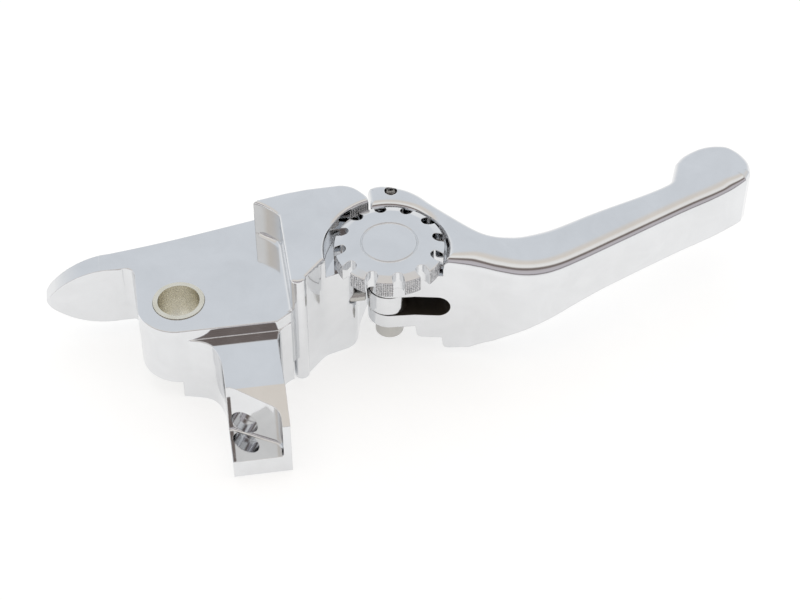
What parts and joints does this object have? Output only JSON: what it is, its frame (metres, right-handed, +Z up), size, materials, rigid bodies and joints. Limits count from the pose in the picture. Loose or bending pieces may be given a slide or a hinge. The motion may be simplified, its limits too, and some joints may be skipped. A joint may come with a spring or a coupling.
{
  "type": "clutch lever",
  "caption": "Short motorcycle clutch lever with a pivot boss, push arm and a finger blade whose reach is set by a notched dial and cam.",
  "frame": {"origin": "centre of the lever's footprint, on the surface it lies on", "axes": "+X along the lever towards the tip of the finger blade, +Y away from the handlebar grip, +Z up along the pivot bore"},
  "size_m": [0.1666, 0.0595, 0.032],
  "materials": {
    "polished_chrome": "polished and chrome plated billet, with soft milling marks under the plate",
    "knurled_chrome": "chrome plated, smooth face and fine knurled teeth",
    "satin_steel": "turned steel, satin",
    "spring_steel": "drawn wire, dull",
    "sintered_bronze": "oiled sintered bronze, dull"
  },
  "bodies": {
    "base": {"lever_base": "polished_chrome", "pivot_bushing": "sintered_bronze", "tongue_bushing": "sintered_bronze", "cam_pad": "satin_steel", "preload_spring": "spring_steel"},
    "blade": {"lever_blade": "polished_chrome", "blade_pivot_pin": "satin_steel", "pin_lock_screw": "satin_steel", "thrust_washer_lower": "satin_steel", "thrust_washer_upper": "satin_steel", "dial_washer": "satin_steel", "shaft_bushing": "sintered_bronze", "detent_spring": "spring_steel"},
    "dial": {"adjuster_dial": "knurled_chrome", "adjuster_cam": "polished_chrome", "cam_shaft": "satin_steel", "cam_pin": "satin_steel", "dial_lock_screw": "satin_steel"},
    "click_ball": {"detent_ball": "satin_steel"},
    "plunger": {"preload_plunger": "satin_steel"}
  },
  "joints": [
    {"name": "blade_reach", "type": "hinge", "parent": "base", "child": "blade", "pos_m": [-0.0021, 0.01935, 0.01555], "axis": [0, 0, -1], "range_deg": [0, 6]},
    {"name": "dial_turn", "type": "hinge", "parent": "blade", "child": "dial", "pos_m": [-0.0047, 0.00715, 0.028], "axis": [0, 0, -1], "range_deg": [0, 300]},
    {"name": "click_ball_slide", "type": "slide", "parent": "blade", "child": "click_ball", "axis": [0, 0, 1], "range_m": [0, 0.0005], "stiffness_N_per_m": 300, "springref_m": 0.0012, "deforming": ["detent_spring"]},
    {"name": "plunger_slide", "type": "slide", "parent": "base", "child": "plunger", "axis": [1, 0, 0], "range_m": [0, 0.0005], "deforming": ["preload_spring"]}
  ],
  "couplings": [
    {"joint": "blade_reach", "follows": "dial_turn", "ratio": 0.02},
    {"joint": "plunger_slide", "follows": "dial_turn", "m_per_rad": 0.000080214}
  ]
}
